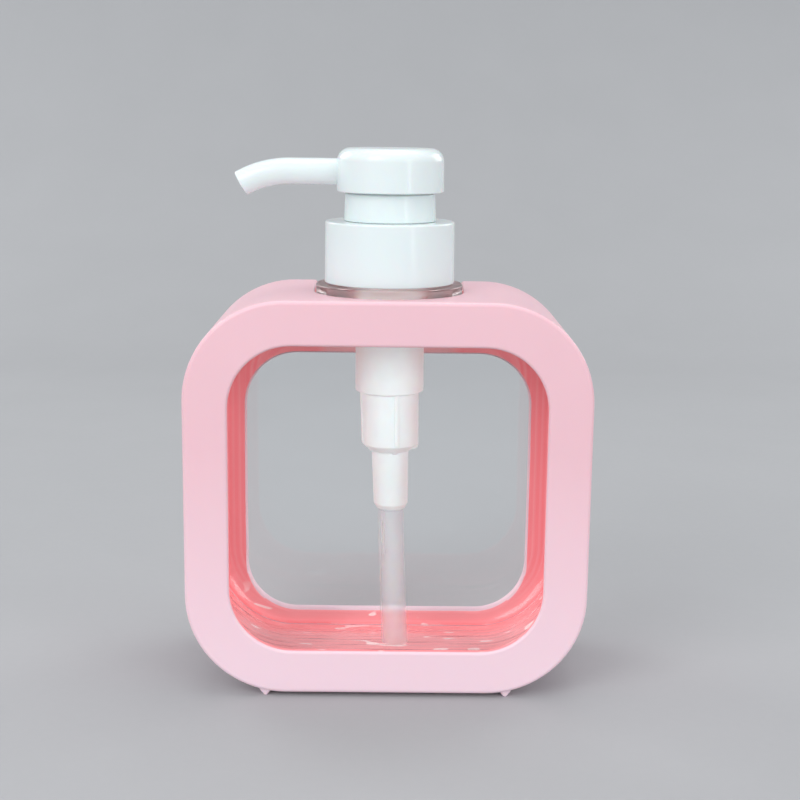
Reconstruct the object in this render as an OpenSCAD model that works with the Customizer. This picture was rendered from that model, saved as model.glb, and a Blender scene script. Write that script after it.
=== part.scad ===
// Soap pump dispenser: a square clear bottle held in a two-piece frame, with a
// screw-on lotion pump whose head turns and rises on a spring.
// The pump's axis is Z, the front of the frame faces -Y, and the feet stand on Z = 0.

/* [Frame] */
// overall width of the frame
body_w = 118; // [100:1:140]
// height of the frame without its feet
body_h = 116.8; // [100:0.4:140]
// depth of the frame, front to back
body_d = 55.2; // [48:0.4:70]
// radius of the frame's outer corners
corner_r = 29.4; // [20:0.2:40]
// wall thickness of the frame's band
band_t = 2; // [1.6:0.1:3]
// width of the flat ring around the front window
ring_w = 13; // [10:0.5:18]
// thickness of the front ring
ring_t = 2.4; // [1.8:0.1:3]
// radius of the window's corners
window_r = 18.4; // [12:0.2:24]
// height of the frame above the table
foot_h = 1.2; // [0.8:0.1:3]
// distance of each foot from the centre line
foot_x = 35.6; // [25:0.2:45]

/* [Rear ring] */
// thickness of the rear ring
rear_t = 2.2; // [1.6:0.1:3]
// how far the rear ring sits inside the band's rear edge
rear_inset = 1.2; // [0.6:0.1:3]
// height of the rear ring's lower bar
rear_bar = 7.1; // [5:0.1:10]
// height of the rear ring's upper bar, which hides the bottle's shoulder
rear_top_bar = 21; // [5:0.1:26]
// width of the rear ring's opening
rear_open_w = 90.6; // [80:0.2:100]

/* [Bottle] */
// wall thickness of the bottle
bottle_wall = 1.8; // [1.2:0.1:2.5]
// gap between the bottle and the frame
bottle_gap = 0.35; // [0.2:0.05:0.8]
// radius of the bottle's front and rear edges
bottle_edge = 6; // [3:0.5:9]
// diameter of the round shoulder under the closure
shoulder_d = 43.8; // [40:0.2:48]
// height of that shoulder's top
shoulder_z = 120.3; // [119:0.1:122]
// diameter of the neck at the root of its thread
neck_d = 30; // [28:0.1:31]
// bore of the neck
neck_bore = 26.5; // [24:0.1:27]
// height of the neck's rim
rim_z = 134.3; // [132:0.1:136]

/* [Closure] */
// diameter of the closure at its lower edge
closure_d = 38.7; // [37:0.1:42]
// height of the closure's lower edge
closure_z0 = 120.6; // [120.5:0.1:122]
// height of the closure's top face
closure_z1 = 138.75; // [137:0.05:141]
// rise of the thread in one turn
thread_pitch = 4.23; // [3:0.01:5]
// turns of thread
thread_turns = 1.5; // [1:0.25:1.5]

/* [Pump body] */
// diameter of the housing's upper barrel
barrel_d = 20.6; // [18:0.1:24]
// bore that the piston runs in
barrel_bore = 18.2; // [15:0.1:20]
// height of the step below the upper barrel
barrel_z = 88; // [80:0.5:95]
// diameter of the housing's middle barrel, at its top
middle_d = 17.8; // [15:0.1:19]
// height of the middle barrel's lower end
middle_z = 69.5; // [64:0.5:75]
// diameter of the housing's lower socket
socket_d = 11; // [10.4:0.1:13]
// height of the socket's lower end
socket_z = 51.2; // [45:0.2:56]
// outer diameter of the dip tube
tube_d = 8.2; // [6:0.1:8.4]
// height of the dip tube's open end
tube_z = 7.7; // [6.5:0.1:20]
// diameter of the lock ring at its base
lock_d = 26.8; // [26:0.1:29]
// height of the lock ring's top
lock_z = 147.4; // [146:0.1:149]

/* [Head] */
// diameter of the head
head_d = 31.7; // [30:0.1:36]
// height of the head's lower edge
head_z0 = 147.3; // [147:0.1:149]
// height of the head's top
head_z1 = 160.2; // [158:0.1:164]
// radius of the head's top edge
head_edge = 3.8; // [2:0.1:5]
// outer diameter of the spout
spout_d = 7.8; // [7:0.1:10]
// bore of the spout
spout_bore = 4; // [3:0.1:4]
// height of the spout's centre line
spout_z = 153.1; // [152.9:0.1:154]
// where the spout starts to bend
bend_x = 29.6; // [22:0.2:36]
// radius of the spout's bend
bend_r = 29; // [20:0.5:40]
// angle of the spout's bend
bend_angle = 30; // [15:1:45]
// outer diameter of the stem
stem_d = 11; // [9:0.1:11]

/* [Hidden] */
$fn = 96;
body_z = foot_h;
mid_z = body_z + body_h / 2;
front_y = -body_d / 2;
rear_y = body_d / 2;
window_w = body_w - 2 * ring_w;
window_h = body_h - 2 * ring_w;
// inside of the band
in_w = body_w - 2 * band_t;
in_h = body_h - 2 * band_t;
in_r = corner_r - band_t;
// rear ring
rear_y1 = rear_y - rear_inset;
rear_y0 = rear_y1 - rear_t;
rear_open_h = in_h - rear_bar - rear_top_bar;
rear_mid_z = mid_z + (rear_bar - rear_top_bar) / 2;
// bottle block
bot_w = in_w - 2 * bottle_gap;
bot_h = in_h - 2 * bottle_gap;
bot_r = in_r - bottle_gap;
bot_y0 = front_y + ring_t + 0.2;
bot_y1 = rear_y0 - 0.2;
bot_d = bot_y1 - bot_y0;
bot_y = (bot_y0 + bot_y1) / 2;
bot_top = mid_z + bot_h / 2;
slot_r = shoulder_d / 2 + 0.3;
// thread ribs, with room all round between the two
rib_out = neck_d / 2 + 1.15;
skirt_in = rib_out + 0.3;
rib_in = neck_d / 2 + 0.35;
rib_z = shoulder_z + 4;
// pump stack from the neck's rim upwards
gasket_t = 1.2;
flange_z = rim_z + gasket_t;
flange_t = 1.6;
plate_z = flange_z + flange_t + 0.05;
collar_r = 12;
collar_z = 142.5;
// stem and piston, in the lowered position
stroke = 18;
piston_z0 = 100;
piston_z1 = 108;
foot_z0 = piston_z0 - 1.6;
guide_z = piston_z1 + stroke + 0.3;
stem_top = 152;
// valves
seat_z = 58.6;
seat_r = 2.2;
ball_r = 3.1;
out_seat_z = 143;
out_seat_r = 2;
out_ball_r = 2.75;
cage_z = 65.8;
floor_z = middle_z + 2.8;

pink = [0.95, 0.76, 0.81];
clear = [0.92, 0.95, 0.96, 0.35];
white = [0.92, 0.95, 0.96];
milky = [0.88, 0.89, 0.9, 0.8];

// ---- shared shapes ----

// outline with round corners, centred on the origin
module round_rect(w, h, r) {
  square([w - 2 * r, h], center = true);
  square([w, h - 2 * r], center = true);
  for (sx = [-1, 1], sz = [-1, 1])
    translate([sx * (w / 2 - r), sz * (h / 2 - r)])
      circle(r);
}

// an outline drawn in X and Z, made solid from y0 to y1
module slab(y0, y1) {
  translate([0, y1, 0])
    rotate([90, 0, 0])
      linear_extrude(y1 - y0)
        children();
}

// a block with round corners from the front and rounded front and rear edges
module soft_block(w, h, d, r, edge) {
  intersection() {
    slab(-d / 2, d / 2)
      round_rect(w, h, r);
    translate([0, 0, -h / 2])
      linear_extrude(h)
        round_rect(w, d, edge);
    rotate([0, 0, 90])
      slab(-w / 2, w / 2)
        round_rect(d, h, edge);
  }
}

module post(d, z0, z1) {
  translate([0, 0, z0])
    cylinder(d = d, h = z1 - z0);
}

// four-sided section of a thread rib, at turn fraction t
function rib_point(r_wall, r_crest, t, k) =
  let (
    a = 360 * t,
    half = [1.0, 0.45, -0.45, -1.0][k],
    r = [r_wall, r_crest, r_crest, r_wall][k]
  )
  [r * cos(a), r * sin(a), thread_pitch * t + half];

// helical rib from its wall radius to its crest radius
module thread_rib(r_wall, r_crest, z) {
  n = thread_turns * 32;
  points = [
    for (i = [0:n], k = [0:3]) rib_point(r_wall, r_crest, i / 32, k)
  ];
  flip = r_crest > r_wall;
  sides = [
    for (i = [0:n - 1], k = [0:3], half = [0, 1])
      let (
        a = 4 * i + k,
        b = 4 * i + (k + 1) % 4,
        tri = half == 0 ? [a, b, b + 4] : [a, b + 4, a + 4]
      )
      tri
  ];
  ends = [[3, 2, 1], [3, 1, 0], [4 * n, 4 * n + 1, 4 * n + 2], [4 * n, 4 * n + 2, 4 * n + 3]];
  faces = [for (f = concat(sides, ends)) flip ? [f[2], f[1], f[0]] : f];
  translate([0, 0, z])
    polyhedron(points = points, faces = faces, convexity = 6);
}

// ---- frame ----

// front ring, band and feet in one moulding, open at the rear; the slot in the
// top lets the bottle's neck slide in from behind
module front_shell() {
  color(pink)
    difference() {
      union() {
        translate([0, 0, mid_z])
          slab(front_y, rear_y)
            round_rect(body_w, body_h, corner_r);
        for (sx = [-1, 1], sy = [-1, 1])
          translate([sx * foot_x, sy * (rear_y - 3.2), 0])
            slab(-2.2, 2.2)
              polygon([[-1.1, 0], [1.1, 0], [2.2, 3], [-2.2, 3]]);
      }
      translate([0, 0, mid_z]) {
        slab(front_y + ring_t, rear_y + 1)
          round_rect(in_w, in_h, in_r);
        slab(front_y - 1, front_y + ring_t + 1)
          round_rect(window_w, window_h, window_r);
      }
      translate([0, 0, body_z + body_h - 6]) {
        cylinder(r = slot_r, h = 10);
        linear_extrude(10)
          polygon([[-slot_r, 0], [slot_r, 0], [slot_r + 0.7, rear_y + 1], [-slot_r - 0.7, rear_y + 1]]);
      }
    }
}

// back cover pressed into the band behind the bottle
module rear_ring() {
  color(pink)
    difference() {
      translate([0, 0, mid_z])
        slab(rear_y0, rear_y1)
          round_rect(in_w - 0.1, in_h - 0.1, in_r - 0.05);
      translate([0, 0, rear_mid_z])
        slab(rear_y0 - 1, rear_y1 + 1)
          round_rect(rear_open_w, rear_open_h, window_r - 2);
    }
}

// ---- bottle ----

// walls of one thickness, but a solid shoulder that carries the neck
module bottle() {
  color(clear) {
    difference() {
      union() {
        translate([0, bot_y, mid_z])
          soft_block(bot_w, bot_h, bot_d, bot_r, bottle_edge);
        post(shoulder_d, bot_top - bottle_wall, shoulder_z);
        post(neck_d, shoulder_z - 1, rim_z);
        thread_rib(neck_d / 2 - 0.4, rib_out, rib_z);
      }
      translate([0, bot_y, mid_z])
        soft_block(bot_w - 2 * bottle_wall, bot_h - 2 * bottle_wall, bot_d - 2 * bottle_wall,
                   bot_r - bottle_wall, bottle_edge - bottle_wall);
      post(neck_bore, bot_top - 2 * bottle_wall, rim_z + 1);
    }
  }
}

// ---- closure ----

// smooth outer wall and threaded inner skirt, joined by the top plate
module closure() {
  color(white) {
    difference() {
      translate([0, 0, closure_z0])
        cylinder(d1 = closure_d, d2 = closure_d - 0.3, h = closure_z1 - closure_z0);
      difference() {
        post(closure_d - 2.6, closure_z0 - 1, plate_z);
        post(2 * skirt_in + 2.3, closure_z0 + 0.6, plate_z + 1);
      }
      post(2 * skirt_in, closure_z0 - 1, plate_z);
      post(2 * collar_r + 0.6, plate_z - 1, closure_z1 + 1);
    }
    thread_rib(skirt_in + 0.4, rib_in, rib_z - thread_pitch / 2);
  }
}

module neck_gasket() {
  color([0.85, 0.87, 0.88])
    difference() {
      post(neck_d + 1, rim_z, flange_z);
      post(barrel_d + 0.8, rim_z - 1, flange_z + 1);
    }
}

// ---- pump body ----

// flange on the neck, three stepped barrels, valve seat and dip-tube socket
module pump_housing() {
  color(milky)
    difference() {
      union() {
        post(neck_d + 1.6, flange_z, flange_z + flange_t);
        post(2 * collar_r, flange_z, collar_z);
        post(2 * collar_r + 0.5, collar_z - 2, collar_z - 1.2);
        post(barrel_d, barrel_z, flange_z + 0.5);
        translate([0, 0, middle_z])
          cylinder(d1 = middle_d - 5.2, d2 = middle_d - 0.7, h = 2.01);
        translate([0, 0, middle_z + 2])
          cylinder(d1 = middle_d - 0.7, d2 = middle_d - 0.3, h = barrel_z - middle_z - 1.5);
        translate([0, 0, socket_z + 1.5])
          cylinder(d1 = socket_d - 0.5, d2 = socket_d + 0.2, h = middle_z - socket_z - 1);
        translate([0, 0, socket_z])
          cylinder(d1 = socket_d - 2.4, d2 = socket_d - 0.5, h = 1.51);
        // ribs that stiffen the middle barrel and wrap its lower edge, one of them
        // square-ended where the moulding is gated
        for (a = [0:90:270])
          rotate([0, 0, a + 14])
            slab(-0.8, 0.8)
              polygon([
                [5, middle_z - 0.7], [a == 0 ? middle_d / 2 - 0.9 : 5.7, middle_z - (a == 0 ? 0.2 : 0.7)],
                [middle_d / 2 - 0.1, middle_z + (a == 0 ? 0.7 : 2.3)],
                [middle_d / 2 + 0.15, barrel_z + 0.2], [5, barrel_z + 0.2]
              ]);
      }
      post(barrel_bore, barrel_z + 1.2, collar_z + 1);
      post(middle_d - 2.6, floor_z, barrel_z + 2);
      post(8.4, seat_z, floor_z + 1);
      post(2 * seat_r, seat_z - 2, seat_z + 1);
      post(tube_d, socket_z - 1, seat_z - 1);
      // vent that lets air into the bottle
      translate([0, 0, flange_z - 6])
        rotate([90, 0, 0])
          cylinder(d = 1.6, h = barrel_d);
    }
}

// ring snapped over the housing's collar; its sleeve guides the stem
module lock_ring() {
  base = closure_z1 + 0.1;
  color(white)
    difference() {
      rotate_extrude()
        difference() {
          union() {
            translate([0, base])
              polygon([[0, 0], [lock_d / 2, 0], [lock_d / 2 - 0.75, lock_z - base - 1], [0, lock_z - base - 1]]);
            translate([0, lock_z - 2])
              square([lock_d / 2 - 1.75, 2]);
            translate([lock_d / 2 - 1.75, lock_z - 1])
              circle(1);
            translate([0, guide_z])
              square([7.4, base - guide_z + 1]);
          }
          translate([7.4, base - 1])
            square([collar_r + 0.05 - 7.4, collar_z - base + 1.2]);
          translate([7.4, collar_z - 2.1])
            square([collar_r + 0.35 - 7.4, 1]);
        }
      post(stem_d + 0.2, guide_z - 1, lock_z + 1);
    }
}

module dip_tube() {
  color([0.85, 0.86, 0.87, 0.6])
    difference() {
      post(tube_d - 0.04, tube_z, seat_z - 1.2);
      post(tube_d - 2, tube_z - 1, seat_z);
    }
}

// insert that carries the spring and keeps the inlet ball near its seat
module ball_cage() {
  color(white)
    difference() {
      union() {
        post(middle_d - 2.8, floor_z, floor_z + 1.2);
        post(8.3, cage_z, floor_z + 0.5);
      }
      post(4.6, cage_z - 1, floor_z + 3);
      for (a = [0, 90])
        rotate([0, 0, a])
          translate([-10, -0.6, cage_z - 1])
            cube([20, 1.2, floor_z - cage_z - 0.5]);
    }
}

module inlet_ball() {
  color([0.75, 0.77, 0.8])
    translate([0, 0, seat_z + sqrt(pow(ball_r + 0.05, 2) - pow(seat_r, 2))])
      sphere(ball_r);
}

// round wire in a helix, shown as it is with the head down
module return_spring() {
  wire = 1.1;
  mean_r = 5.4;
  turns = 9;
  steps = 18;
  sides = 8;
  z0 = floor_z + 1.25 + wire / 2;
  z1 = foot_z0 - 0.05 - wire / 2;
  n = turns * steps;
  points = [
    for (i = [0:n], k = [0:sides - 1])
      let (
        a = 360 * i / steps,
        b = 360 * k / sides,
        r = mean_r + wire / 2 * cos(b)
      )
      [r * cos(a), r * sin(a), z0 + (z1 - z0) * i / n + wire / 2 * sin(b)]
  ];
  sides_f = [
    for (i = [0:n - 1], k = [0:sides - 1], half = [0, 1])
      let (
        a = sides * i + k,
        b = sides * i + (k + 1) % sides
      )
      half == 0 ? [a, b, b + sides] : [a, b + sides, a + sides]
  ];
  cap0 = [[for (k = [sides - 1:-1:0]) k]];
  cap1 = [[for (k = [0:sides - 1]) sides * n + k]];
  color([0.7, 0.72, 0.75])
    polyhedron(points = points, faces = concat(sides_f, cap0, cap1), convexity = 20);
}

// ---- plunger and head ----

// two sealing lips on a hub that the stem turns in
module piston() {
  r = barrel_bore / 2 - 0.05;
  color([0.9, 0.93, 0.95])
    rotate_extrude()
      polygon([
        [4.05, piston_z0], [5.8, piston_z0], [5.8, piston_z0 + 3], [7.6, piston_z0 + 3],
        [8.2, piston_z0], [r, piston_z0], [r, piston_z0 + 1.6], [8.4, piston_z0 + 2.6],
        [8.4, piston_z1 - 2.6], [r, piston_z1 - 1.6], [r, piston_z1], [8.2, piston_z1],
        [7.6, piston_z1 - 3], [5.8, piston_z1 - 3], [5.8, piston_z1], [4.05, piston_z1]
      ]);
}

// tube from the piston to the head, with the outlet ball's seat inside
module stem() {
  color(white)
    difference() {
      union() {
        post(stem_d, piston_z1 + 0.05, stem_top);
        post(8, foot_z0, piston_z1 + 1);
        post(12.8, foot_z0, piston_z0 - 0.1);
      }
      post(2 * out_seat_r, foot_z0 - 1, out_seat_z + 1);
      post(6.8, out_seat_z, stem_top + 1);
    }
}

module outlet_ball() {
  color([0.75, 0.77, 0.8])
    translate([0, 0, out_seat_z + sqrt(pow(out_ball_r + 0.05, 2) - pow(out_seat_r, 2))])
      sphere(out_ball_r);
}

// the spout's path, straight and then bending down, as a round bar
module spout_bar(d, x0) {
  translate([-x0, 0, spout_z])
    rotate([0, -90, 0])
      cylinder(d = d, h = bend_x - x0);
  translate([-bend_x, 0, spout_z - bend_r])
    rotate([90, 0, 0])
      rotate([0, 0, 90])
        rotate_extrude(angle = bend_angle)
          translate([bend_r, 0])
            circle(d = d);
}

// cap with a hollow skirt, a boss for the stem and a spout bored through to it
module pump_head() {
  skirt_r = head_d / 2 - 1.7;
  ceiling = head_z1 - 2.4;
  color(white)
    difference() {
      union() {
        difference() {
          translate([0, 0, head_z0])
            rotate_extrude() {
              square([head_d / 2, head_z1 - head_z0 - head_edge]);
              square([head_d / 2 - head_edge, head_z1 - head_z0]);
              translate([head_d / 2 - head_edge, head_z1 - head_z0 - head_edge])
                intersection() {
                  circle(head_edge);
                  translate([-head_d / 4, -head_edge])
                    square([head_d, 2 * head_edge]);
                }
            }
          post(2 * skirt_r, head_z0 - 1, ceiling - 1.6);
          translate([0, 0, ceiling - 1.61])
            cylinder(r1 = skirt_r, r2 = skirt_r - 1.6, h = 1.61);
        }
        post(15.2, head_z0 + 0.9, ceiling + 1);
        spout_bar(spout_d - 1.4, 6);
        spout_bar(spout_d, skirt_r + 0.7);
      }
      // stem socket, outlet chamber and spout bore
      post(stem_d + 0.04, head_z0, stem_top);
      difference() {
        post(6.8, stem_top - 1, spout_z + 2.1);
        post(2, head_z0, ceiling);
      }
      spout_bar(spout_bore, 2);
      translate([-bend_x, 0, spout_z - bend_r])
        rotate([90, 0, 0])
          rotate([0, 0, 90 + bend_angle - 0.01])
            translate([bend_r, 0.5, 0])
              rotate([90, 0, 0])
                cylinder(d = spout_bore, h = 1, center = true);
    }
  // pin that stops the outlet ball's lift
  color(white)
    post(2, out_seat_z + 6.2, ceiling + 0.5);
}

front_shell();
rear_ring();
bottle();
closure();
neck_gasket();
pump_housing();
lock_ring();
dip_tube();
ball_cage();
inlet_ball();
return_spring();
piston();
stem();
outlet_ball();
pump_head();
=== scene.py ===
import math

import bmesh
import bpy
from mathutils import Matrix, Vector


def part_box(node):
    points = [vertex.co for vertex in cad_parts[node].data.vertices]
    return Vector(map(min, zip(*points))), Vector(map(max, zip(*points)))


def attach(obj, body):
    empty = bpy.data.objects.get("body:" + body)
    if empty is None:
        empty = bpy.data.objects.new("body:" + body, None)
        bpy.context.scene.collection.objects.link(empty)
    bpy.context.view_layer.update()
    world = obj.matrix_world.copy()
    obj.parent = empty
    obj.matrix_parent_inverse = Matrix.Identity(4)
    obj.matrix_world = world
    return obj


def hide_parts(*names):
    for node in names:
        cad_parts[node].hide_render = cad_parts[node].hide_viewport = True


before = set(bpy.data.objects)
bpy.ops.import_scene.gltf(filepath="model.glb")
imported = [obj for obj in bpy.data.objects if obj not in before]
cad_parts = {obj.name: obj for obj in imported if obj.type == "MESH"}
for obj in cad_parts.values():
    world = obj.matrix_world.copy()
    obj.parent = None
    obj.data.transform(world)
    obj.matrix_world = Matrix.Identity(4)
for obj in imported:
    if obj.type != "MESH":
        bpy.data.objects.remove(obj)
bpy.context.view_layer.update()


# ---------------------------------------------------------------- front shell
# The pink frame: a flat front ring, the band round the sides and four small
# feet, injection-moulded in one piece. A slot in the top of the band, open to
# the rear, lets the bottle's neck slide in from behind.
mm = 0.001
body_w, body_h, body_d = 118.0, 116.8, 55.2
body_low = 1.2
body_mid = body_low + body_h / 2
body_top = body_low + body_h
corner_r = 29.4
band = 2.0
ring_w, ring_t, window_r = 13.0, 2.4, 18.4
front, rear = -body_d / 2, body_d / 2
ring_back = front + ring_t
seat_y = rear - 3.4
rear_edge_r, nose_r, inner_r = 0.5, 1.2, 1.2
window_front_r, window_back_r = 0.9, 0.4
slot_r, slot_turn_r = 22.2, 1.6
slot_mouth = slot_r + 0.7


def eased(corners, steps):
    """A path of (a, b, radius) corners with each corner rounded."""
    path = []
    count = len(corners)
    for i, (a, b, r) in enumerate(corners):
        here = Vector((a, b))
        if r <= 0:
            path.append((a, b))
            continue
        before = Vector(corners[i - 1][:2]) - here
        after = Vector(corners[(i + 1) % count][:2]) - here
        before.normalize()
        after.normalize()
        half = before.angle(after) / 2
        reach = r / math.tan(half)
        centre = here + (before + after).normalized() * (r / math.sin(half))
        start = here + before * reach - centre
        end = here + after * reach - centre
        turn = start.angle_signed(end)
        for k in range(steps + 1):
            spoke = Matrix.Rotation(-turn * k / steps, 2) @ start
            path.append((centre.x + spoke.x, centre.y + spoke.y))
    return path


def quarter(step, steps):
    """The angle of one step on the way round a quarter turn."""
    return math.radians(90 * step / steps)


def round_outline(w, h, r):
    """A rounded rectangle in (x, z), from the right end of its top edge round to the left end."""
    spots = []
    steps = 20
    for side, level, start in ((1, 1, 90), (1, -1, 0), (-1, -1, -90), (-1, 1, -180)):
        for k in range(steps + 1):
            a = math.radians(start - 90 * k / steps)
            x = side * (w / 2 - r) + r * math.cos(a)
            z = level * (h / 2 - r) + r * math.sin(a)
            spots.append((x, z))
    return spots


across = len(round_outline(1, 1, 0.1))


def wall(a, b, count):
    """Faces between two rings of points, whose first points are a and b."""
    faces = []
    for k in range(count):
        n = (k + 1) % count
        faces.append((a + k, a + n, b + n, b + k))
    return faces


def finish_surface(piece, sharp=35):
    """Smooth shading that keeps flat faces flat and corners crisp."""
    mesh = piece.data
    mesh.polygons.foreach_set("use_smooth", [True] * len(mesh.polygons))
    mesh.set_sharp_from_angle(angle=math.radians(sharp))
    weighted = piece.modifiers.new("flat faces stay flat", "WEIGHTED_NORMAL")
    weighted.keep_sharp = True
    weighted.weight = 80


def made_piece(name, spots, faces, sharp=35):
    """A mesh piece from points in millimetres, with its faces turned outward."""
    mesh = bpy.data.meshes.new(name)
    mesh.from_pydata([tuple(c * mm for c in spot) for spot in spots], [], faces)
    mesh.validate()
    shape = bmesh.new()
    shape.from_mesh(mesh)
    bmesh.ops.remove_doubles(shape, verts=shape.verts, dist=1e-7)
    bmesh.ops.recalc_face_normals(shape, faces=shape.faces)
    shape.to_mesh(mesh)
    shape.free()
    piece = bpy.data.objects.new(name, mesh)
    bpy.context.scene.collection.objects.link(piece)
    finish_surface(piece, sharp)
    return piece


def shell_row(inset, y, closed):
    """One outline of the frame; a closed row goes on across the slot."""
    return (body_w - 2 * inset, body_h - 2 * inset, corner_r - inset, y, closed)


def window_row(grow, y):
    """One outline of the front window."""
    w, h = body_w - 2 * ring_w, body_h - 2 * ring_w
    return (w + 2 * grow, h + 2 * grow, window_r + grow, y, True)


# The rows run from the front edge back along the outside, round the rear edge,
# forward along the inside, through the window and out over the front face.
turn_r = rear_edge_r - 0.01
edge_rows = eased([(0, rear_edge_r, 0), (0, 0, turn_r), (band, 0, turn_r), (band, rear_edge_r, 0)], 4)
rows = [shell_row(0, front + nose_r, False)]
rows += [shell_row(inset, rear - off, False) for inset, off in edge_rows]
seat_row = len(rows)
rows.append(shell_row(band, seat_y, False))
inner_row = len(rows)
rows.append(shell_row(band, ring_back + inner_r, True))
for step in range(1, 5):
    a = quarter(step, 4)
    inset = band + inner_r * (1 - math.cos(a))
    rows.append(shell_row(inset, ring_back + inner_r * (1 - math.sin(a)), True))
for step in range(4):
    a = quarter(step, 3)
    grow = window_back_r * (1 - math.sin(a))
    rows.append(window_row(grow, ring_back - window_back_r * (1 - math.cos(a))))
for step in range(1, 9):
    a = quarter(step, 8)
    grow = window_front_r * (1 - math.cos(a))
    rows.append(window_row(grow, front + window_front_r * (1 - math.sin(a))))
for step in range(6):
    a = quarter(step, 6)
    inset = nose_r * (1 - math.sin(a))
    rows.append(shell_row(inset, front + nose_r * (1 - math.cos(a)), True))

spots, faces = [], []
for w, h, r, y, _ in rows:
    spots += [(x, y, body_mid + z) for x, z in round_outline(w, h, r)]
for i, row in enumerate(rows):
    closed = row[4]
    a, b = i * across, (i + 1) % len(rows) * across
    faces += [(a + k, b + k, b + k + 1, a + k + 1) for k in range(across - 1)]
    if closed:
        faces.append((a + across - 1, b + across - 1, b, a))


def slot_edge(off):
    """The free edge of the band's top: rear edge, slot corner, slot wall and round end."""
    flat = body_w / 2 - corner_r
    side = [(-flat, rear - off)]
    for step in range(7):
        a = quarter(6 - step, 6)
        x = -slot_mouth - slot_turn_r + (slot_turn_r - off) * math.cos(a)
        y = rear - slot_turn_r + (slot_turn_r - off) * math.sin(a)
        side.append((x, y))
    round_end = []
    for k in range(49):
        a = math.radians(180 + 180 * k / 48)
        round_end.append(((slot_r + off) * math.cos(a), (slot_r + off) * math.sin(a)))
    return side + round_end + [(-x, y) for x, y in reversed(side)]


slot_rows = []
for k, (inset, off) in enumerate(edge_rows):
    row_start = (1 + k) * across
    ids = [row_start + across - 1]
    for x, y in slot_edge(off)[1:-1]:
        ids.append(len(spots))
        spots.append((x, y, body_top - inset))
    ids.append(row_start)
    slot_rows.append(ids)
for a, b in zip(slot_rows, slot_rows[1:]):
    faces += [(a[k], b[k], b[k + 1], a[k + 1]) for k in range(len(a) - 1)]
faces.append([across - 1] + slot_rows[0] + [0])
inner, seat = inner_row * across, seat_row * across
faces.append(([inner + across - 1, seat + across - 1] + slot_rows[-1] + [seat, inner])[::-1])

# Each foot is a small blunt point, drawn as (height, half width, half depth).
foot_x, foot_y, foot_sides, foot_top = 35.6, rear - 3.2, 24, 3.1
foot_layers = [(0.0, 0.4, 1.6), (0.1, 0.6, 1.9), (1.4, 1.75, 2.1), (3.0, 2.6, 2.3)]
for side in (-1, 1):
    for end in (-1, 1):
        base = len(spots)
        for z, half_x, half_y in foot_layers:
            for k in range(foot_sides):
                a = 2 * math.pi * k / foot_sides
                x = half_x * math.copysign(abs(math.cos(a)) ** 0.6, math.cos(a))
                y = half_y * math.copysign(abs(math.sin(a)) ** 0.5, math.sin(a))
                spots.append((side * foot_x + x, end * foot_y + y, z))
        for layer in range(len(foot_layers) - 1):
            lower = base + foot_sides * layer
            faces += wall(lower, lower + foot_sides, foot_sides)
        upper = base + foot_sides * (len(foot_layers) - 1)
        faces.append([base + k for k in range(foot_sides - 1, -1, -1)])
        faces.append([upper + k for k in range(foot_sides)])

front_shell = made_piece("front_shell_moulding", spots, faces)


def node(look, kind, operation="", **values):
    """One more node in a material, with its inputs set by name."""
    made = look.node_tree.nodes.new("ShaderNode" + kind)
    if operation:
        made.operation = operation
    for socket, value in values.items():
        made.inputs[socket.replace("_", " ")].default_value = value
    return made


def new_finish(name):
    """A new material, its shader and the object's own coordinates."""
    look = bpy.data.materials.new(name)
    look.use_nodes = True
    shader = look.node_tree.nodes["Principled BSDF"]
    return look, shader, node(look, "TexCoord").outputs["Object"]


def wire(look, source, target):
    """Join two sockets of a material."""
    look.node_tree.links.new(source, target)


def shader_socket(look, socket):
    """One input of a material's shader."""
    return look.node_tree.nodes["Principled BSDF"].inputs[socket]


def surface_place(look):
    """The object's own coordinates in a material."""
    return look.node_tree.nodes["Texture Coordinate"].outputs["Object"]


def noise(look, place, scale, detail):
    """A cloudy pattern over the surface."""
    cloud = node(look, "TexNoise", Scale=scale, Detail=detail)
    wire(look, place, cloud.inputs["Vector"])
    return cloud.outputs["Fac"]


def stretched(look, place, scale):
    """Coordinates scaled along X, Y and Z, so that a pattern runs longer one way."""
    stretch = node(look, "Mapping", Scale=scale)
    wire(look, place, stretch.inputs["Vector"])
    return stretch.outputs["Vector"]


def spread(look, source, **limits):
    """A factor mapped from one range to another."""
    span = node(look, "MapRange", **limits)
    wire(look, source, span.inputs["Value"])
    return span.outputs["Result"]


def drifting_colour(look, pattern, dark, light):
    """The colour drifts between two shades with a pattern."""
    shade = node(look, "ValToRGB")
    for stop, position, colour in zip(shade.color_ramp.elements, (0.3, 0.7), (dark, light)):
        stop.position = position
        stop.color = (*colour, 1)
    wire(look, pattern, shade.inputs["Fac"])
    wire(look, shade.outputs["Color"], shader_socket(look, "Base Color"))


def uneven_gloss(look, pattern, low, high):
    """The roughness varies between two values with a pattern."""
    wire(look, spread(look, pattern, To_Min=low, To_Max=high), shader_socket(look, "Roughness"))


def fine_relief(look, pattern, strength, depth):
    """A skin left by the mould, a fraction of a millimetre deep."""
    relief = node(look, "Bump", Strength=strength, Distance=depth)
    wire(look, pattern, relief.inputs["Height"])
    wire(look, relief.outputs["Normal"], shader_socket(look, "Normal"))


def moulded_finish(name, colour, rough, grain, grain_depth, tint, **sockets):
    """Moulded plastic: a slow drift of colour, a fine skin from the mould, uneven gloss."""
    look, shader, place = new_finish(name)
    dark = [c * (1 - tint) for c in colour]
    light = [min(1, c * (1 + tint)) for c in colour]
    drifting_colour(look, noise(look, place, 18, 3), dark, light)
    skin = noise(look, place, grain, 4)
    uneven_gloss(look, skin, rough * 0.85, rough * 1.15)
    fine_relief(look, skin, 0.35, grain_depth)
    for socket, value in sockets.items():
        shader.inputs[socket.replace("_", " ")].default_value = value
    return look


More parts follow.
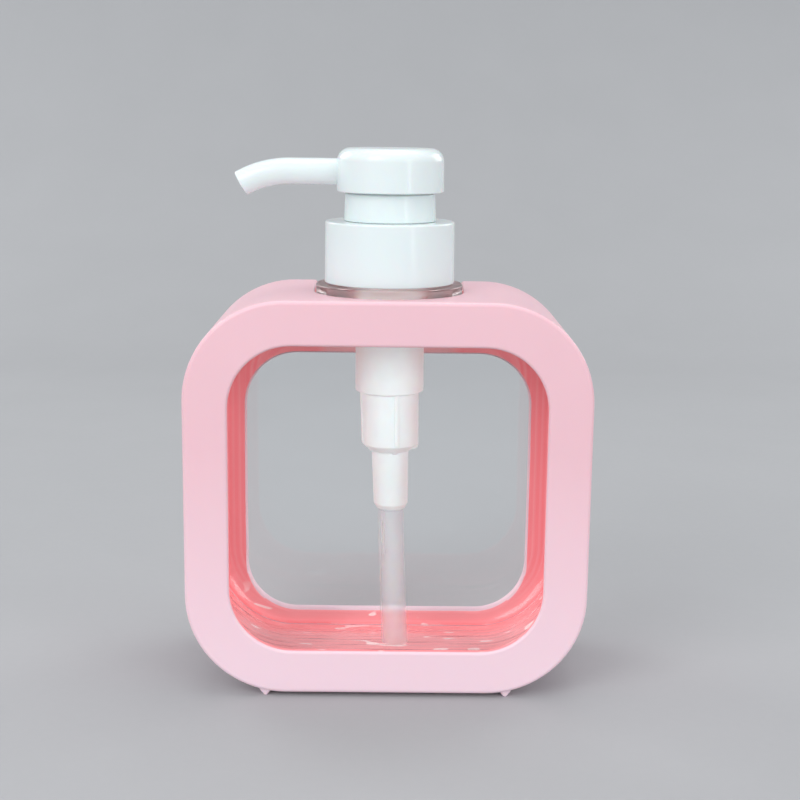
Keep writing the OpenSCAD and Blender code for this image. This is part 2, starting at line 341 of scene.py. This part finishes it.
def steps_between(look, source, axis, start, end):
    """A factor that runs from 0 at start to 1 at end along one axis, in millimetres."""
    split = node(look, "SeparateXYZ")
    wire(look, source, split.inputs["Vector"])
    size = node(look, "Math", "ABSOLUTE")
    wire(look, split.outputs[axis], size.inputs[0])
    return spread(look, size.outputs["Value"], From_Min=start * mm, From_Max=end * mm)


def colour_mix(look, factor, colour):
    """A mix towards a colour: the socket for the first colour, and the result."""
    mix = node(look, "Mix")
    mix.data_type = "RGBA"
    first, second, result = mix.inputs[6], mix.inputs[7], mix.outputs[2]
    wire(look, factor, mix.inputs["Factor"])
    second.default_value = (*colour, 1)
    return first, result


def blended(look, factor, colour):
    """The finish drifts towards another colour where the factor rises."""
    target = shader_socket(look, "Base Color")
    first, result = colour_mix(look, factor, colour)
    wire(look, target.links[0].from_socket, first)
    wire(look, result, target)


# The satin pink of the frame's outside is a little lighter towards the feet; this is painted light,
# not a change in the plastic.
pink = moulded_finish("satin pink", (0.885, 0.56, 0.62), 0.36, 900, 0.00004, tint=0.015,
                      Subsurface_Weight=0.1, Subsurface_Scale=0.004, IOR=1.46)
blended(pink, steps_between(pink, surface_place(pink), "Z", 75, 5), (0.97, 0.72, 0.80))

# The inside faces are painted coral with a glow: painted light, standing in for light that comes
# through the thin walls and bounces inside the pink frame. The coral is painted lighter near the
# floor, painted reflections run in fine lines along the outline, and painted highlights lie in short
# specks on the floor.
coral_with_painted_glow = moulded_finish("inside faces, coral with painted glow", (0.86, 0.225, 0.255), 0.4, 900, 0.00004, tint=0.03,
                             IOR=1.46, Emission_Color=(1.0, 0.15, 0.17, 1), Emission_Strength=0.31)
inside_place = surface_place(coral_with_painted_glow)
# Painted light: the coral is lighter near the floor.
blended(coral_with_painted_glow, steps_between(coral_with_painted_glow, inside_place, "Z", 26, 8), (0.84, 0.33, 0.35))


def from_outline(look, source):
    """The distance out from the outline's corner centres, the same all along the outline."""
    inset = 0.6
    centres = (body_w / 2 - corner_r - inset, 1000, body_h / 2 - corner_r - inset)
    for operation, values in (("SUBTRACT", (0, 0, body_mid)), ("ABSOLUTE", None),
                              ("SUBTRACT", centres), ("MAXIMUM", (0, 0, 0))):
        step = node(look, "VectorMath", operation)
        if values:
            step.inputs[1].default_value = [value * mm for value in values]
        wire(look, source, step.inputs[0])
        source = step.outputs["Vector"]
    reach = node(look, "VectorMath", "LENGTH")
    wire(look, source, reach.inputs[0])
    return reach.outputs["Value"]


# Painted reflections: fine lines that follow the outline.
painted_reflection_streaks = node(coral_with_painted_glow, "TexNoise")
painted_reflection_streaks.noise_dimensions = "1D"
painted_reflection_streaks.inputs["Scale"].default_value = 520
painted_reflection_streaks.inputs["Detail"].default_value = 2
wire(coral_with_painted_glow, from_outline(coral_with_painted_glow, inside_place), painted_reflection_streaks.inputs["W"])
painted_reflection_mask = spread(coral_with_painted_glow, painted_reflection_streaks.outputs["Fac"], From_Min=0.45, From_Max=0.75)
blended(coral_with_painted_glow, painted_reflection_mask, (0.95, 0.40, 0.43))
# Painted highlights: short specks, only near the floor.
painted_highlight_specks = noise(coral_with_painted_glow, stretched(coral_with_painted_glow, inside_place, (0.5, 1.2, 1)), 240, 0)
painted_highlights_on_floor = node(coral_with_painted_glow, "Math", "MULTIPLY")
wire(coral_with_painted_glow, spread(coral_with_painted_glow, painted_highlight_specks, From_Min=0.71, From_Max=0.74), painted_highlights_on_floor.inputs[0])
wire(coral_with_painted_glow, steps_between(coral_with_painted_glow, inside_place, "Z", 20, 12), painted_highlights_on_floor.inputs[1])
blended(coral_with_painted_glow, painted_highlights_on_floor.outputs["Value"], (1.0, 0.93, 0.92))


def is_inside(face):
    """True for the band's inner faces, which look back at the frame's centre."""
    centre = Vector((0, face.center.y, body_mid * mm))
    return face.normal.dot(face.center - centre) < -0.2 * mm


front_shell.data.materials.append(pink)
front_shell.data.materials.append(coral_with_painted_glow)
# The band's inner faces and the ring's back take the coral with its painted glow.
for face in front_shell.data.polygons:
    y, z = face.center.y / mm, face.center.z / mm
    beside_bottle = front + window_front_r + 0.05 < y <= seat_y and z >= foot_top
    if beside_bottle and (face.normal.y > 0.5 or is_inside(face)):
        face.material_index = 1
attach(front_shell, "base")
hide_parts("front_shell")


# ------------------------------------------------------------------ rear ring
# The pink back cover: a flat moulded plate pressed into the band behind the
# bottle. Its opening sits lower than the front one and has a rolled edge.
rear_low, rear_high = (v.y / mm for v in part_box("rear_ring"))
rear_gap = 0.05
rear_w, rear_h = body_w - 2 * band - 2 * rear_gap, body_h - 2 * band - 2 * rear_gap
open_w, open_low, open_high, open_r = 90.6, 10.3, 95.0, 16.4
open_h, open_mid = open_high - open_low, (open_low + open_high) / 2
roll_side, roll_floor, roll_deep, open_edge_r = 0.8, 2.4, 1.8, 0.3


def hoop(name, profile):
    """A closed section carried round the frame; each point is (width, height, radius, y, middle)."""
    spots, faces = [], []
    for w, h, r, y, middle in profile:
        spots += [(x, y, middle + z) for x, z in round_outline(w, h, r)]
    for i in range(len(profile)):
        faces += wall(i * across, (i + 1) % len(profile) * across, across)
    return made_piece(name, spots, faces)


section = []
outer_edge = [(0.4, rear_high), (0.12, rear_high - 0.12), (0, rear_high - 0.4), (0, rear_low + 0.3),
              (0.3, rear_low)]
for inset, y in outer_edge:
    section.append((rear_w - 2 * inset, rear_h - 2 * inset, corner_r - band - inset, y, body_mid))
for step in range(9):
    a = quarter(step, 8)
    side, floor = roll_side * (1 - math.sin(a)), roll_floor * (1 - math.sin(a))
    section.append((open_w + 2 * side, open_h + side + floor, open_r + side,
                    rear_low + roll_deep * (1 - math.cos(a)), open_mid + (side - floor) / 2))
for step in range(4):
    a = quarter(step, 3)
    side = open_edge_r * (1 - math.cos(a))
    section.append((open_w + 2 * side, open_h + 2 * side, open_r + side,
                    rear_high - open_edge_r * (1 - math.sin(a)), open_mid))
rear_ring = hoop("rear_ring_moulding", section)

# The stretch behind the neck and the pump is greyer: painted shade, for the neck and the pump that
# stand in front of it. It also keeps the coral and its painted glow.
painted_glow_and_shade_behind = coral_with_painted_glow.copy()
painted_glow_and_shade_behind.name = "rear face with painted glow and shade"
painted_pump_shade = steps_between(painted_glow_and_shade_behind, surface_place(painted_glow_and_shade_behind), "X", 23, 19)
blended(painted_glow_and_shade_behind, painted_pump_shade, (0.62, 0.58, 0.58))
for look in (pink, coral_with_painted_glow, painted_glow_and_shade_behind):
    rear_ring.data.materials.append(look)
# The rear plate's face towards the bottle takes the coral with painted glow; above the middle it
# takes the copy with painted shade behind the pump.
for face in rear_ring.data.polygons:
    if face.normal.y < -0.9:
        face.material_index = 2 if face.center.z > body_mid * mm else 1
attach(rear_ring, "base")
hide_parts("rear_ring")


# --------------------------------------------------------------------- bottle
# The clear bottle: a square blown body with soft edges, a round shoulder that
# fills the frame's slot, and a neck with a single thread for the closure.
bottle_low, bottle_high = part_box("bottle")
bottle_wall, bottle_gap, bottle_edge_r = 1.8, 0.35, 6
block_w = body_w - 2 * band - 2 * bottle_gap
block_h = body_h - 2 * band - 2 * bottle_gap
block_r = corner_r - band - bottle_gap
block_front, block_rear = bottle_low.y / mm, bottle_high.y / mm
block_top = body_mid + block_h / 2
shoulder_r, shoulder_z, neck_r, bore_r, rim_z = 21.9, 120.3, 15.0, 13.25, 134.3
bead_r = neck_r + 1.4
thread_z, thread_pitch, thread_turns = shoulder_z + 4, 4.23, 1.5


def soft_block(name, inset, edge):
    """The body's skin, inset from the outside, with its front and rear edges rounded."""
    profile = []
    y0, y1 = block_front + inset, block_rear - inset
    for step in range(11):
        a = quarter(step, 10)
        profile.append((inset + edge * (1 - math.sin(a)), y0 + edge * (1 - math.cos(a))))
    for step in range(11):
        a = quarter(step, 10)
        profile.append((inset + edge * (1 - math.cos(a)), y1 - edge * (1 - math.sin(a))))
    spots, faces = [], []
    for d, y in profile:
        outline = round_outline(block_w - 2 * d, block_h - 2 * d, block_r - d)
        spots += [(x, y, body_mid + z) for x, z in outline]
    for i in range(len(profile) - 1):
        faces += wall(i * across, (i + 1) * across, across)
    last = (len(profile) - 1) * across
    faces.append(list(range(across))[::-1])
    faces.append([last + k for k in range(across)])
    return made_piece(name, spots, faces)


def turned(name, profile):
    """A piece turned about the pump's axis from a closed (radius, height) outline."""
    spots, faces = [], []
    steps, count = 96, len(profile)
    on_axis = [r < 1e-6 for r, _ in profile]
    for k in range(steps):
        a = 2 * math.pi * k / steps
        spots += [(r * math.cos(a), r * math.sin(a), z) for r, z in profile]
    for k in range(steps):
        a, b = k * count, (k + 1) % steps * count
        for i in range(count):
            j = (i + 1) % count
            if on_axis[i] and on_axis[j]:
                continue
            if on_axis[i]:
                faces.append((a + i, b + j, a + j))
            elif on_axis[j]:
                faces.append((a + i, b + i, a + j))
            else:
                faces.append((a + i, b + i, b + j, a + j))
    return made_piece(name, spots, faces)


def carved(piece, other, action):
    """piece with other joined to it or cut from it; other is used up."""
    step = piece.modifiers.new(action, "BOOLEAN")
    step.operation = action
    step.solver = "EXACT"
    step.object = other
    piece.modifiers.remove(piece.modifiers["flat faces stay flat"])
    ready = piece.evaluated_get(bpy.context.evaluated_depsgraph_get())
    mesh = bpy.data.meshes.new_from_object(ready)
    shape = bmesh.new()
    shape.from_mesh(mesh)
    bmesh.ops.remove_doubles(shape, verts=shape.verts, dist=2e-6)
    bmesh.ops.dissolve_degenerate(shape, edges=shape.edges, dist=2e-6)
    shape.to_mesh(mesh)
    shape.free()
    piece.modifiers.clear()
    piece.data = mesh
    bpy.data.objects.remove(other)
    finish_surface(piece)
    return piece


def thread(name, r_wall, r_crest, z):
    """One helical rib with tapered ends."""
    steps, taper, half = 48, 8, 1.0
    count = int(thread_turns * steps)
    spots, faces = [], []
    for i in range(count + 1):
        fade = min(1, i / taper, (count - i) / taper)
        crest = r_wall + (r_crest - r_wall) * (0.35 + 0.65 * fade)
        a = 2 * math.pi * i / steps
        for r, up in ((r_wall, half), (crest, 0.5 * half), (crest, -0.5 * half), (r_wall, -half)):
            spots.append((r * math.cos(a), r * math.sin(a), z + thread_pitch * i / steps + up))
    for i in range(count):
        faces += wall(4 * i, 4 * (i + 1), 4)
    faces.append((3, 2, 1, 0))
    faces.append([4 * count + k for k in range(4)])
    return made_piece(name, spots, faces)


bottle = soft_block("bottle_blown", 0, bottle_edge_r)
neck_outside = turned("neck_outside", eased([
    (0, block_top - 1, 0), (shoulder_r, block_top - 1, 0), (shoulder_r, shoulder_z, 0.6),
    (bead_r, shoulder_z, 0.4), (bead_r, shoulder_z + 1.0, 0.3), (neck_r, shoulder_z + 1.6, 0.3),
    (neck_r, rim_z, 0.5), (0, rim_z, 0)], 5))
bottle = carved(bottle, neck_outside, "UNION")
bottle = carved(bottle, thread("neck_thread", neck_r - 0.4, neck_r + 1.15, thread_z), "UNION")
inside = soft_block("bottle_inside", bottle_wall, bottle_edge_r - bottle_wall)
inside_top = block_top - bottle_wall
neck_inside = turned("neck_inside", [
    (0, block_top - 6), (bore_r + 1.5, block_top - 6), (bore_r + 1.2, inside_top + 0.2),
    (bore_r + 0.5, inside_top + 0.9), (bore_r, inside_top + 1.8), (bore_r, rim_z + 1),
    (0, rim_z + 1)])
inside = carved(inside, neck_inside, "UNION")
bottle = carved(bottle, inside, "DIFFERENCE")
bottle.name = "bottle_blown"

# Clear plastic with slow ripples from blowing. The thick shoulder is cloudier, and is painted with a
# faint pink: a painted reflection of the frame's pink.
clear_colour = (0.985, 0.992, 0.995)
clear, shader, place = new_finish("clear bottle plastic")
shader.inputs["Transmission Weight"].default_value = 1
shader.inputs["IOR"].default_value = 1.42
shader.inputs["Base Color"].default_value = (*clear_colour, 1)
ripple = noise(clear, stretched(clear, place, (0.25, 4, 0.25)), 60, 2)
fine_relief(clear, ripple, 0.35, 0.0008)
shoulder = steps_between(clear, place, "Z", 115, 118)
cloudy = node(clear, "Math", "MULTIPLY_ADD")
cloudy.inputs[1].default_value = 0.3
wire(clear, shoulder, cloudy.inputs[0])
wire(clear, spread(clear, ripple, To_Min=0.0, To_Max=0.03), cloudy.inputs[2])
wire(clear, cloudy.outputs["Value"], shader.inputs["Roughness"])
# Painted reflection: a faint pink on the shoulder.
first, painted_pink_reflection = colour_mix(clear, shoulder, (1.0, 0.88, 0.87))
first.default_value = (*clear_colour, 1)
wire(clear, painted_pink_reflection, shader.inputs["Base Color"])
bottle.data.materials.clear()
bottle.data.materials.append(clear)
bottle.visible_shadow = False
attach(bottle, "base")
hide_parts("bottle")


# ------------------------------------------------------------------- dip tube
# Extruded milky tubing pushed into the housing's socket; it keeps a slight
# curl from its coil and ends just above the bottle's floor.
tube_low, tube_high = (v.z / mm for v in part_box("dip_tube"))
tube_r, tube_bore_r, tube_curl = 4.08, 3.1, 0.0004
socket_low = 51.2
lean, lean_from = 0.021, 105


def pipe(name, stations, steps):
    """A tube along (centre, side, up, outer radius, bore radius) stations."""
    spots, faces = [], []
    for centre, side, up, outer, bore in stations:
        for r in (outer, bore):
            for k in range(steps):
                a = 2 * math.pi * k / steps
                spots.append(centre + side * (r * math.cos(a)) + up * (r * math.sin(a)))
    last = (len(stations) - 1) * 2 * steps
    for a in range(0, last, 2 * steps):
        b = a + 2 * steps
        faces += wall(a, b, steps)
        faces += wall(a + steps, b + steps, steps)
    for a in (0, last):
        faces += wall(a, a + steps, steps)
    return made_piece(name, spots, faces)


rounds = 40
stations = []
for j in range(rounds + 1):
    z = tube_high + (tube_low - tube_high) * j / rounds
    bow = lean * (lean_from - z) + tube_curl * max(0, socket_low - z) ** 2
    stations.append((Vector((bow, 0, z)), Vector((1, 0, 0)), Vector((0, 1, 0)), tube_r, tube_bore_r))
dip_tube = pipe("dip_tube_extruded", stations, 48)


def milky_finish(name, colour, rough, streak):
    """Unfilled polypropylene: cloudy, lets some light in, faintly streaked along Z."""
    look, shader, place = new_finish(name)
    cloud = noise(look, stretched(look, place, (1, 1, streak)), 220, 4)
    drifting_colour(look, cloud, [c * 0.94 for c in colour], colour)
    uneven_gloss(look, cloud, rough * 0.8, rough * 1.2)
    fine_relief(look, cloud, 0.2, 0.00005)
    shader.inputs["IOR"].default_value = 1.35
    shader.inputs["Subsurface Weight"].default_value = 0.3
    shader.inputs["Subsurface Scale"].default_value = 0.003
    return look


tubing = milky_finish("milky tubing", (0.84, 0.88, 0.90), 0.3, 0.06)
shader_socket(tubing, "Alpha").default_value = 0.2
dip_tube.data.materials.append(tubing)
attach(dip_tube, "pump")
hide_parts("dip_tube")


# --------------------------------------------------------------- pump housing
# The pump's body: one translucent moulding with a flange that sits on the
# neck, a wide upper barrel, a ribbed middle barrel and the dip tube's socket.
# Long and thin-walled, it hangs very slightly out of true.
flange_z, collar_z = 135.5, 142.5
housing = turned("housing_moulding", eased([
    (4.1, socket_low, 0), (4.3, socket_low, 0.1), (5.25, 52.7, 0.3), (5.6, 69.5, 0.2),
    (6.3, 69.5, 0.3), (8.55, 71.5, 0.5), (8.75, 87.4, 0.3), (10.3, 88.0, 0.3),
    (10.3, flange_z, 0), (15.8, flange_z, 0.3), (15.8, flange_z + 1.6, 0.3),
    (12, flange_z + 1.6, 0), (12, collar_z - 2, 0), (12.25, collar_z - 1.6, 0),
    (12, collar_z - 1.2, 0), (12, collar_z, 0.3), (9.1, collar_z, 0.3), (9.1, 89.2, 0.3),
    (7.6, 89.2, 0.2), (7.6, 72.3, 0.3), (4.2, 72.3, 0.2), (4.2, 58.6, 0.2),
    (2.2, 58.6, 0.1), (2.2, 57.6, 0.1), (4.1, 57.6, 0)], 4)[::-1])

# Each rib's edge runs up the middle barrel as (height, radius). One rib is
# square-ended, where the moulding is gated.
rib_half, rib_crown, rib_edge_r = 0.8, 0.5, 0.25
angled_rib = ((68.8, 5.75), (69.6, 6.5), (71.4, 8.4), (71.9, 8.75), (72.6, 8.82), (87.9, 9.05))
square_rib = ((69.2, 7.6), (69.3, 8.0), (69.6, 8.5), (70.2, 8.75), (70.9, 8.82), (87.9, 9.05))
rib_turns = ((14, square_rib), (104, angled_rib), (194, angled_rib), (284, angled_rib))
spots, faces = [], []
for turn, rib_edge in rib_turns:
    c, s = math.cos(math.radians(turn)), math.sin(math.radians(turn))
    base = len(spots)
    for z, out in rib_edge:
        root = min(out - 0.3, 5.3 if z < 71 else 7.9)
        ring = ((root, -rib_half), (out - rib_edge_r, -rib_half), (out, -rib_crown),
                (out, rib_crown), (out - rib_edge_r, rib_half), (root, rib_half))
        spots += [(r * c - side * s, r * s + side * c, z) for r, side in ring]
    last = base + 6 * (len(rib_edge) - 1)
    for a in range(base, last, 6):
        faces += wall(a, a + 6, 6)
    faces.append([base + k for k in range(5, -1, -1)])
    faces.append([last + k for k in range(6)])
ribs = made_piece("housing_ribs", spots, faces, 60)
for piece in (housing, ribs):
    for spot in piece.data.vertices:
        spot.co.x += lean * max(0, lean_from * mm - spot.co.z)

# The housing is painted darker towards the dip tube's socket, as painted shade, and given a faint
# glow, painted light that evens out its shading.
milky = milky_finish("milky polypropylene", (0.78, 0.82, 0.82), 0.3, 1.0)
blended(milky, steps_between(milky, surface_place(milky), "Z", 88, 60), (0.66, 0.70, 0.70))
shader_socket(milky, "Emission Color").default_value = (0.85, 1, 1, 1)
shader_socket(milky, "Emission Strength").default_value = 0.2
for piece in (housing, ribs):
    piece.data.materials.append(milky)
    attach(piece, "pump")
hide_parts("pump_housing")


# ---------------------------------------------------------------- neck gasket
# A ring punched from white foam sheet. It lies loose between the neck's rim
# and the housing's flange, and the closure squeezes it tight.
foam = moulded_finish("foam sheet", (0.82, 0.83, 0.83), 0.75, 1600, 0.00012, tint=0.04)
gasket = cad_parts["neck_gasket"]
gasket.data.materials.clear()
gasket.data.materials.append(foam)


# -------------------------------------------------------------------- closure
# The screw cap: glossy white, smooth outside, with a threaded inner skirt and
# a top plate that is trapped under the lock ring.
closure_low, closure_high, plate_low = 120.6, 138.75, 137.15
closure = turned("closure_moulding", eased([
    (12.3, plate_low, 0.15), (16.45, plate_low, 0.2), (16.45, 121.2, 0.3), (17.6, 121.2, 0.3),
    (17.6, plate_low, 0.2), (18.05, plate_low, 0.2), (18.05, closure_low, 0.3),
    (19.35, closure_low, 0.35), (19.2, closure_high, 0.55), (12.3, closure_high, 0.2)], 5))
white = moulded_finish("glossy white", (0.80, 0.88, 0.88), 0.2, 700, 0.00002, tint=0.01,
                       Subsurface_Weight=0.15, Subsurface_Scale=0.003, IOR=1.49,
                       Coat_Weight=0.25, Coat_Roughness=0.08)
closure_thread = thread("closure_thread", 16.85, 15.35, thread_z - thread_pitch / 2)
for piece in (closure, closure_thread):
    piece.data.materials.append(white)
    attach(piece, "cap")
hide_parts("closure")


# ------------------------------------------------------------------ lock ring
# The white ring snapped over the housing's collar above the closure; its long
# inner sleeve guides the stem and stops the piston.
lock_low, lock_high = (v.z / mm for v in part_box("lock_ring"))
lock_ring = turned("lock_ring_moulding", eased([
    (5.6, lock_low, 0.3), (7.4, lock_low, 0.3), (7.4, collar_z + 0.2, 0.2),
    (12.05, collar_z + 0.2, 0.2), (12.05, closure_high + 0.1, 0.2),
    (13.65, closure_high + 0.1, 0.25), (13.3, lock_high, 1.0), (5.6, lock_high, 0.3)], 6)[::-1])
lock_ring.data.materials.append(white)
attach(lock_ring, "pump")
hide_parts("lock_ring")


# ---------------------------------------------------- valves, piston, spring
# The works inside: the inlet's moulded cage and steel ball, the two-lip
# piston on the stem's foot, the stainless spring under it, and the outlet's
# steel ball in the head.
steel, shader, _ = new_finish("polished steel")
shader.inputs["Metallic"].default_value = 1
shader.inputs["Base Color"].default_value = (0.66, 0.67, 0.69, 1)
drawn = node(steel, "TexNoise", Scale=900)
uneven_gloss(steel, drawn.outputs["Fac"], 0.12, 0.28)
soft_white = moulded_finish("soft piston plastic", (0.84, 0.87, 0.9), 0.42, 600, 0.00002, tint=0.02)
for name, look in (("inlet_ball", steel), ("outlet_ball", steel), ("return_spring", steel),
                   ("ball_cage", soft_white), ("piston", soft_white)):
    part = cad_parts[name]
    part.data.materials.clear()
    part.data.materials.append(look)


# ----------------------------------------------------------------------- stem
# The white tube that carries the head down to the piston. It is moulded with
# a foot that the spring pushes on, and the head is pressed on its upper end.
stem_r, stem_low, stem_high = 5.5, 98.4, 152
stem = turned("stem_moulding", eased([
    (2, stem_low, 0.2), (6.4, stem_low, 0.3), (6.4, 99.9, 0.3), (4.0, 99.9, 0.1),
    (4.0, 108.05, 0.1), (stem_r, 108.05, 0.3), (stem_r, stem_high, 0.3), (3.4, stem_high, 0.2),
    (3.4, 143, 0.2), (2, 143, 0.1)], 4)[::-1])
stem.data.materials.append(white)
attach(stem, "head")
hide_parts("stem")


# ------------------------------------------------------------------ pump head
# The head the hand presses: a hollow glossy white cap with a soft top edge, a
# boss on the stem and a spout bored through to it that bends down at its end.
head_r, head_low, head_high = 15.85, 147.3, 160.2
spout_z, spout_r, spout_bore_r = 153.1, 3.9, 2.0
bend_x, bend_r, bend = 29.6, 29.0, 30.0
cap = turned("head_moulding", eased([
    (0, head_high - 2.4, 0), (12.6, head_high - 2.4, 1.6), (14.15, head_low, 0.2),
    (head_r, head_low, 0.45), (head_r - 0.05, head_high - 0.15, 3.9), (7, head_high - 0.02, 0),
    (0, head_high, 0)], 10)[::-1])


def spout_station(x, z, direction, grow):
    """One ring of the spout, square to its direction in the XZ plane."""
    up = Vector((-math.sin(direction), 0, math.cos(direction)))
    return (Vector((x, 0, z)), Vector((0, 1, 0)), up, spout_r * grow, spout_bore_r)


# The spout starts narrower inside the cap's wall, and its tip has a fine bevel.
stations = []
for x, grow in ((6.5, 0.85), (13.8, 0.85), (14.4, 1.0), (16.0, 1.0), (22, 1.0)):
    stations.append(spout_station(-x, spout_z, math.pi, grow))
bend_steps = 16
for step in range(bend_steps):
    a = math.radians(bend * step / bend_steps)
    x, z = -bend_x - bend_r * math.sin(a), spout_z - bend_r + bend_r * math.cos(a)
    stations.append(spout_station(x, z, math.pi + a, 1.0))
tip_a = math.radians(bend)
tip_x, tip_z = -bend_x - bend_r * math.sin(tip_a), spout_z - bend_r + bend_r * math.cos(tip_a)
for back, grow in ((0.35, 1.0), (0.12, 0.975), (0.0, 0.92)):
    x, z = tip_x + back * math.cos(tip_a), tip_z + back * math.sin(tip_a)
    stations.append(spout_station(x, z, math.pi + tip_a, grow))
spout = pipe("spout_moulding", stations, 40)
boss = turned("head_boss", eased([
    (stem_r, 148.2, 0.4), (7.6, 148.2, 0.4), (7.6, head_high - 2, 0), (3.4, head_high - 2, 0),
    (3.4, stem_high, 0), (stem_r, stem_high, 0)], 4))
for piece in (cap, spout, boss):
    piece.data.materials.append(white)
    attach(piece, "head")
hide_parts("pump_head")


# ------------------------------------------------------- floor, light, camera
# A pale paper sweep that curves up behind, a soft surround, softboxes in
# front, above and behind, and a camera just above the height of the head.
sweep_front, sweep_bend_y, sweep_bend_r, sweep_top, sweep_half_w = -1.2, 0.55, 0.45, 2.2, 2.5
sweep_rows = [(sweep_front, 0.0), (sweep_bend_y, 0.0)]
for step in range(1, 17):
    a = quarter(step, 16)
    y, z = sweep_bend_y + sweep_bend_r * math.sin(a), sweep_bend_r * (1 - math.cos(a))
    sweep_rows.append((y, z))
sweep_rows.append((sweep_bend_y + sweep_bend_r, sweep_top))
spots, faces = [], []
for y, z in sweep_rows:
    spots += [(side * sweep_half_w / mm, y / mm, z / mm) for side in (-1, 1)]
for k in range(len(sweep_rows) - 1):
    faces.append((2 * k, 2 * k + 1, 2 * k + 3, 2 * k + 2))
sweep = made_piece("paper_sweep", spots, faces, 60)
paper = moulded_finish("pale paper", (0.43, 0.435, 0.445), 0.9, 300, 0.00003, tint=0.01)
sweep.data.materials.append(paper)

world = bpy.data.worlds.new("soft surround")
bpy.context.scene.world = world
world.use_nodes = True
surround = world.node_tree.nodes["Background"]
surround.inputs["Color"].default_value = (0.93, 0.96, 1.0, 1)
surround.inputs["Strength"].default_value = 0.69


def lamp(name, place, aim, size, power):
    """A softbox of (width, height) at a place, turned to its aim."""
    light = bpy.data.lights.new(name, "AREA")
    light.shape = "RECTANGLE"
    light.size, light.size_y = size
    light.energy = power
    holder = bpy.data.objects.new(name, light)
    bpy.context.scene.collection.objects.link(holder)
    holder.location = place
    holder.rotation_euler = (Vector(aim) - Vector(place)).to_track_quat("-Z", "Y").to_euler()
    return holder


lamp("key softbox", (-0.55, -0.75, 0.75), (0, 0, 0.09), (0.6, 0.6), 3.0)
lamp("strip softbox", (0.62, -0.72, 0.30), (0, 0, 0.12), (0.08, 0.5), 0.4)
for side in (-1, 1):
    fill = lamp("front fill", (side * 0.66, -0.66, 0.3), (0, 0, 0.05), (0.5, 0.4), 1.6)
    fill.visible_glossy = False
lamp("top softbox", (0.1, 0.1, 0.95), (0, 0, 0.1), (0.7, 0.7), 2.5)
lamp("back left softbox", (-0.75, 0.6, 0.55), (0, 0, 0.08), (0.5, 0.5), 2.2)
lamp("back right softbox", (0.75, 0.6, 0.45), (0, 0, 0.08), (0.5, 0.5), 1.8)

camera = bpy.data.cameras.new("camera")
camera.lens = 65.07
camera.sensor_width = 36
camera.clip_start = 0.01
eye = bpy.data.objects.new("camera", camera)
bpy.context.scene.collection.objects.link(eye)
down, yaw, roll = math.radians(11.121), math.radians(0.479), math.radians(0.681)
level = math.cos(down)
ahead = Vector((math.sin(yaw) * level, math.cos(yaw) * level, -math.sin(down)))
right = Vector((math.cos(yaw), -math.sin(yaw), 0))
up = right.cross(ahead)
rolled_right = right * math.cos(roll) + up * math.sin(roll)
rolled_up = up * math.cos(roll) - right * math.sin(roll)
aim = Matrix((rolled_right, rolled_up, -ahead)).transposed().to_4x4()
aim.translation = (-0.00002, -0.4315, 0.1694)
eye.matrix_world = aim
bpy.context.scene.camera = eye
bpy.context.scene.view_settings.view_transform = "Standard"
